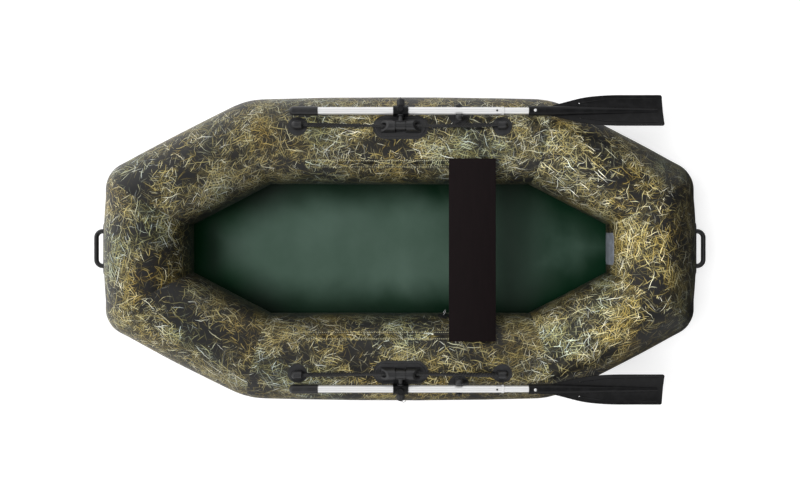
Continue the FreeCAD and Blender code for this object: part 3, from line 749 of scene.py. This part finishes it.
# The floor's facets, and how far in under the tubes its painted shade along the edge starts
floor_squares = (190, 90)
floor_edge_shift = 0.07

# The floor's soft wrinkles: how far in from the tubes' axes they start and are full, the height
# of those across it, aslant and fine, and how much the first two are raised
wrinkle_span = (0.02, 0.18)
across_height = 0.013
slant_height = 0.015
fine_height = 0.003
across_raise = 0.45
slant_raise = 0.4


def floor_rise(x, y):
    """How high the floor's soft wrinkles stand at a point."""
    across = noise.noise(Vector((x * 5.2, y * 1.3, 0.4)))
    slant = noise.noise(Vector(((x + 0.8 * y) * 4.1, (y - 0.8 * x) * 1.2, 7.7)))
    fine = noise.noise(Vector((x * 11, y * 4, 3.1)))
    return max(0.0, across_height * (across + across_raise)
               + slant_height * (slant + slant_raise) + fine_height * fine)


def floor_sheet():
    """The green floor, cut as an octagon that laps under the tubes, with soft wrinkles in it."""
    low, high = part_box("floor_sheet")
    thickness = high.z - low.z
    lap = high.x - end_axis_x
    shape = bmesh.new()
    bmesh.ops.create_grid(
        shape, x_segments=floor_squares[0], y_segments=floor_squares[1], size=1)
    for vertex in shape.verts:
        vertex.co.x *= high.x
        vertex.co.y *= high.y
    for start, end in hull_runs:
        outward = outward_of((end - start).normalized())
        bmesh.ops.bisect_plane(
            shape, geom=shape.verts[:] + shape.edges[:] + shape.faces[:], dist=1e-6,
            plane_co=start + outward * lap, plane_no=outward, clear_outer=True)
    cloth = shape.loops.layers.uv.new("cloth")
    for face in shape.faces:
        for loop in face.loops:
            loop[cloth].uv = loop.vert.co.xy
    area = sum(face.calc_area() for face in shape.faces)

    wall_distance = shape.verts.layers.float.new("wall_distance")
    for vertex in shape.verts:
        reaches = [
            (start - vertex.co).dot(outward_of(end - start).normalized())
            for start, end in hull_runs]
        beside = min(reach for reach, name in zip(reaches, hull_tubes) if name != "bow_tube")
        vertex[wall_distance] = max(0.0, beside - tube_radius + floor_edge_shift)
        slack = soft_step(min(reaches), *wrinkle_span)
        vertex.co.z = low.z + slack * floor_rise(vertex.co.x, vertex.co.y)
    bmesh.ops.recalc_face_normals(shape, faces=shape.faces)
    if shape.faces[0].normal.z < 0:
        bmesh.ops.reverse_faces(shape, faces=shape.faces)
    made = piece("floor_sheet_cloth", shape, "hull", "floor_cloth", "floor_cloth", "floor_sheet")
    wall = made.modifiers.new("thickness", "SOLIDIFY")
    wall.thickness = thickness
    wall.offset = 1
    return made


# Ropes

rope_radius = 0.006
rope_strands = 3
rope_pitch = 0.034
rope_step = 0.003
strand_sides = 8
strand_share = 0.45

# The straight end at each fitting, and how far inside the rowlock's plate the rope turns level
rope_straight = 0.0616
rowlock_lead = 0.0145

# The rope's own radius where it is slim and what is added where it is stout, as shares of
# rope_radius, and how far from each end it grows stout and slim again, in metres
slim_share = 0.8
stout_extra = 0.72
stout_start = 0.030
stout_rise = 0.014
stout_end = 0.30
stout_fall = 0.16

# A corner's share of the shorter run beside it, and the points on its curve
corner_share = 0.45
corner_points = (0.125, 0.25, 0.375, 0.5, 0.625, 0.75, 0.875)


def rounded_path(points, step):
    """A polyline with its corners rounded over just under half of the runs beside them."""
    lines = [points[0]]
    for before, corner, after in zip(points, points[1:], points[2:]):
        reach = corner_share * min((corner - before).length, (after - corner).length)
        enter = corner + (before - corner).normalized() * reach
        leave = corner + (after - corner).normalized() * reach
        lines.append(enter)
        for share in corner_points:
            lines.append(enter.lerp(corner, share).lerp(corner.lerp(leave, share), share))
        lines.append(leave)
    lines.append(points[-1])
    path = []
    for start, end in zip(lines, lines[1:]):
        count = max(1, round((end - start).length / step))
        path += [start.lerp(end, number / count) for number in range(count)]
    return path + [points[-1]]


def laid_strand(shape, path, thickness, phase):
    """One strand of a laid rope: a tube that winds round the path, with closed ends."""
    last = len(path) - 1
    runs = [0.0]
    for start, end in zip(path, path[1:]):
        runs.append(runs[-1] + (end - start).length)
    grid = bmesh.ops.create_grid(shape, x_segments=last, y_segments=strand_sides, size=1)
    verts = grid["verts"]
    for vertex in verts:
        row = round((vertex.co.x + 1) / 2 * last)
        turn = (vertex.co.y + 1) * math.pi
        heading = (path[min(row + 1, last)] - path[max(row - 1, 0)]).normalized()
        side = heading.cross(up).normalized()
        rise = side.cross(heading)
        size = thickness(path[row].x)
        strand = size * strand_share
        angle = phase + 2 * math.pi * runs[row] / rope_pitch
        centre = path[row] + (side * math.cos(angle) + rise * math.sin(angle)) * (size - strand)
        vertex.co = centre + (side * math.cos(turn) + rise * math.sin(turn)) * strand
    bmesh.ops.remove_doubles(shape, verts=verts, dist=1e-5)
    close_ends(shape)


def grab_rope(side):
    """Rope laid from three strands, stouter by its fittings, where it is tucked into itself."""
    low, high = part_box("grab_rope_" + side)
    base_low, base_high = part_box("rowlock_base_" + side)
    axle_low, axle_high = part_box("rowlock_axle_" + side)
    sign = 1 if side == "port" else -1
    end_z = low.z + rope_radius
    end_y = (high.y if sign > 0 else low.y) - sign * rope_radius
    axle = (axle_low + axle_high) / 2
    lead = (base_high.x - base_low.x) / 2 - rowlock_lead
    path = rounded_path((
        Vector((high.x, end_y, end_z)),
        Vector((high.x - rope_straight, end_y, end_z)),
        Vector((axle.x + lead, axle.y, axle.z)),
        Vector((axle.x - lead, axle.y, axle.z)),
        Vector((low.x + rope_straight, end_y, end_z)),
        Vector((low.x, end_y, end_z)),
    ), rope_step)

    def thickness(x):
        from_end = min(high.x - x, x - low.x)
        rising = min(1.0, max(0.0, (from_end - stout_start) / stout_rise))
        falling = min(1.0, max(0.0, (stout_end - from_end) / stout_fall))
        return rope_radius * (slim_share + stout_extra * (rising * falling))

    shape = bmesh.new()
    for number in range(rope_strands):
        laid_strand(shape, path, thickness, number * math.tau / rope_strands)
    bmesh.ops.recalc_face_normals(shape, faces=shape.faces)
    node = "grab_rope_" + side
    return piece(node + "_laid", shape, "hull", "black_rope", "black_rope", node)


# The seat

plank_corner_radius = 0.003
plank_edge_radius = 0.0012


def seat_plank():
    """The plank with its edges eased."""
    low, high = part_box("seat_plank")
    shape = bmesh.new()
    bmesh.ops.create_cube(shape, size=1)
    middle, extent = (low + high) / 2, high - low
    for vertex in shape.verts:
        vertex.co = middle + Vector(a * b for a, b in zip(vertex.co, extent))

    def rise(edge):
        return abs((edge.verts[0].co - edge.verts[1].co).z)

    upright = [edge for edge in shape.edges if rise(edge) > 0.001]
    bmesh.ops.bevel(
        shape, geom=upright, offset=plank_corner_radius, segments=3, profile=0.5, affect="EDGES")
    rims = [edge for edge in shape.edges if rise(edge) < 1e-6 and edge.calc_face_angle(0) > 1.2]
    bmesh.ops.bevel(
        shape, geom=rims, offset=plank_edge_radius, segments=2, profile=0.5, affect="EDGES")
    made = piece("seat_plank_eased", shape, "seat", "dark_plank", "dark_plank", "seat_plank")
    made.data.set_sharp_from_angle(angle=math.radians(40))
    return made


# Small pieces

# The bare plate's lower and upper edge, in degrees round the bow tube, and its sizes
plate_low_angle = -5
plate_high_angle = 22
plate_half_width = 0.065
plate_wall = 0.0008
plate_lift = 0.0016

# What stands on each oar: where along the boat, its radius and rise. Then the height of the blade's
# root over the shaft's axis, and how deep a head is set.
spring_button_x = 0.375
spring_button_size = (0.0040, 0.0028)
blade_rivet_x = 0.522
blade_rivet_size = (0.0058, 0.0020)
blade_root_height = 0.019
head_depth = 0.0004

# Each pin's split ring: its middle from the pin's tip, the way it faces, and its wire's radius
split_ring_radius = 0.0095
pin_tip_height = 0.012
split_rings = {
    "port": ((0, 0.001, -0.9 * split_ring_radius), (1, 0, 0), 0.0008),
    "starboard": ((0.011, 0.0025, 0), (0, 0.05, 1), 0.0009),
}


def bare_plate():
    """The blank plate on the bow tube's inner wall, bent to the tube."""
    radius = tube_radius + plate_lift
    shape = bmesh.new()
    bmesh.ops.create_grid(shape, x_segments=12, y_segments=16, size=1)
    corners = [
        vertex for vertex in shape.verts if min(abs(vertex.co.x), abs(vertex.co.y)) > 0.99]
    bmesh.ops.delete(shape, geom=corners, context="VERTS")
    for vertex in shape.verts:
        across, share = vertex.co.x * plate_half_width, (vertex.co.y + 1) / 2
        angle = math.radians(plate_low_angle + (plate_high_angle - plate_low_angle) * share)
        vertex.co = (
            end_axis_x - radius * math.cos(angle), across, tube_z + radius * math.sin(angle))
    bmesh.ops.recalc_face_normals(shape, faces=shape.faces)
    bmesh.ops.solidify(shape, geom=shape.faces[:], thickness=-plate_wall)
    return piece("bare_plate", shape, "hull", "bare_plate", "white_plastic")


def head(name, body, place, size, finish, slot):
    """A low rivet head or button that stands on a surface."""
    radius, rise = size
    shape = bmesh.new()
    bmesh.ops.create_uvsphere(shape, u_segments=20, v_segments=12, radius=1)
    for vertex in shape.verts:
        x, y, z = vertex.co
        vertex.co = place + Vector((x * radius, y * radius, z * rise))
    return piece(name, shape, body, finish, slot)


def split_ring(side, body, tip):
    """Wire ring through the tip of a pin."""
    offset, away, wire = split_rings[side]
    shape = bmesh.new()
    circle = bmesh.ops.create_circle(shape, segments=10, radius=wire)
    for vertex in circle["verts"]:
        vertex.co = Vector((vertex.co.x + split_ring_radius, 0, vertex.co.y))
    bmesh.ops.spin(
        shape, geom=shape.verts[:] + shape.edges[:], cent=(0, 0, 0), axis=(0, 0, 1),
        angle=math.tau, steps=40, use_merge=True, use_duplicate=False)
    bmesh.ops.remove_doubles(shape, verts=shape.verts, dist=1e-6)
    bmesh.ops.recalc_face_normals(shape, faces=shape.faces)
    turn = up.rotation_difference(Vector(away))
    for vertex in shape.verts:
        vertex.co = tip + Vector(offset) + turn @ vertex.co
    return piece("split_ring_" + side, shape, body, "dull_wire", "steel")


def oar_details(side):
    """Spring button, rivet and split ring of one oar."""
    body = "oar_" + side
    low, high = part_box("oar_upper_tube_" + side)
    axis_y, axis_z = (low.y + high.y) / 2, (low.z + high.z) / 2
    button = Vector((spring_button_x, axis_y, high.z - head_depth))
    rivet = Vector((blade_rivet_x, axis_y, axis_z + blade_root_height - head_depth))
    black = "black_plastic"
    head("spring_button_" + side, body, button, spring_button_size, black, black)
    head("blade_rivet_" + side, body, rivet, blade_rivet_size, "oar_alloy", "steel")
    low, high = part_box("pin_cap_" + side)
    tip_y = high.y if side == "port" else low.y
    split_ring(side, body, Vector(((low.x + high.x) / 2, tip_y, low.z + pin_tip_height)))


# Studio

# The light of the room on matt things, and the way from which it shines on glossy ones
room_light = 0.04
sheen_heading = (-0.86, 0.36, -0.36)

# The ground, and the light of its own that lifts it to white for the camera
ground_size = 9
ground_colour = (0.45, 0.45, 0.45, 1)
ground_lift = 0.72


def soft_lamp(name, kind, place, energy, **settings):
    """A soft lamp that looks at the boat's middle and leaves no mirror image of itself."""
    lamp = bpy.data.objects.new(name, bpy.data.lights.new(name, kind))
    bpy.context.scene.collection.objects.link(lamp)
    lamp.data.energy = energy
    for setting, value in settings.items():
        setattr(lamp.data, setting, value)
    lamp.visible_glossy = False
    lamp.location = place
    lamp.rotation_euler = (-Vector(place)).to_track_quat("-Z", "Y").to_euler()


def bright_room():
    """A dim room, white to the camera, which glossy things see bright astern, beside and above."""
    world = bpy.data.worlds.new("room")
    bpy.context.scene.world = world
    world.use_nodes = True
    room = Nodes(world.node_tree)
    background = room.tree.nodes["Background"]
    rays = room.node("LightPath")
    heading = room.node("TexCoord").outputs["Generated"]
    toward_sheen = room.node("VectorMath", operation="DOT_PRODUCT")
    room.fill(toward_sheen, heading, sheen_heading)
    _, y, z = room.axes(heading)

    astern = room.between(toward_sheen.outputs["Value"], -0.25, 0.75, bottom=0.02, top=1.25)
    above_level = room.between(z, -0.25, 0.0)
    to_the_sides = room.between(room.math("ABSOLUTE", y), 0.35, 0.8)
    beside = room.math("MULTIPLY", above_level, to_the_sides)
    overhead = room.between(z, 0.88, 1.0, bottom=0.0, top=0.8)
    mirrored = room.math("MAXIMUM", room.math("MAXIMUM", astern, beside), overhead)

    extra = room.math("SUBTRACT", mirrored, room_light)
    strength = room.math("MULTIPLY_ADD", rays.outputs["Is Glossy Ray"], extra, room_light)
    strength = room.math("MAXIMUM", strength, rays.outputs["Is Camera Ray"])
    room.set(background.inputs["Strength"], strength)
    background.inputs["Color"].default_value = (1, 1, 1, 1)


def pale_ground():
    """A ground that takes the boat's shadow and is lifted to white for the camera."""
    shape = bmesh.new()
    bmesh.ops.create_grid(shape, x_segments=1, y_segments=1, size=ground_size)
    mesh = bpy.data.meshes.new("studio_floor")
    shape.to_mesh(mesh)
    shape.free()
    ground = bpy.data.objects.new("studio_floor", mesh)
    bpy.context.scene.collection.objects.link(ground)
    ground.visible_glossy = False
    finish = Finish("studio_floor", ground_colour, 0.9, Specular_IOR_Level=0.0)
    rays = finish.node("LightPath")
    glow = finish.node("Emission")
    lifted = finish.math("MULTIPLY", rays.outputs["Is Camera Ray"], ground_lift)
    finish.set(glow.inputs["Strength"], lifted)
    both = finish.node("AddShader")
    finish.set(both.inputs[0], finish.shader.outputs[0])
    finish.set(both.inputs[1], glow.outputs[0])
    finish.set(finish.tree.nodes["Material Output"].inputs["Surface"], both.outputs[0])
    mesh.materials.append(finish.material)


look_from_above()
dress_solids()
for number in range(len(hull_tubes)):
    air_tube(number)
floor_sheet()
seat_plank()
bare_plate()
for name in ("port", "starboard"):
    grab_rope(name)
    oar_details(name)
bright_room()
soft_lamp("key_lamp", "SUN", (-1.8, 0.1, 3.0), 3.0, angle=math.radians(34))
soft_lamp("top_lamp", "AREA", (0.6, 0, 3.5), 14, shape="SQUARE", size=2.2)
pale_ground()
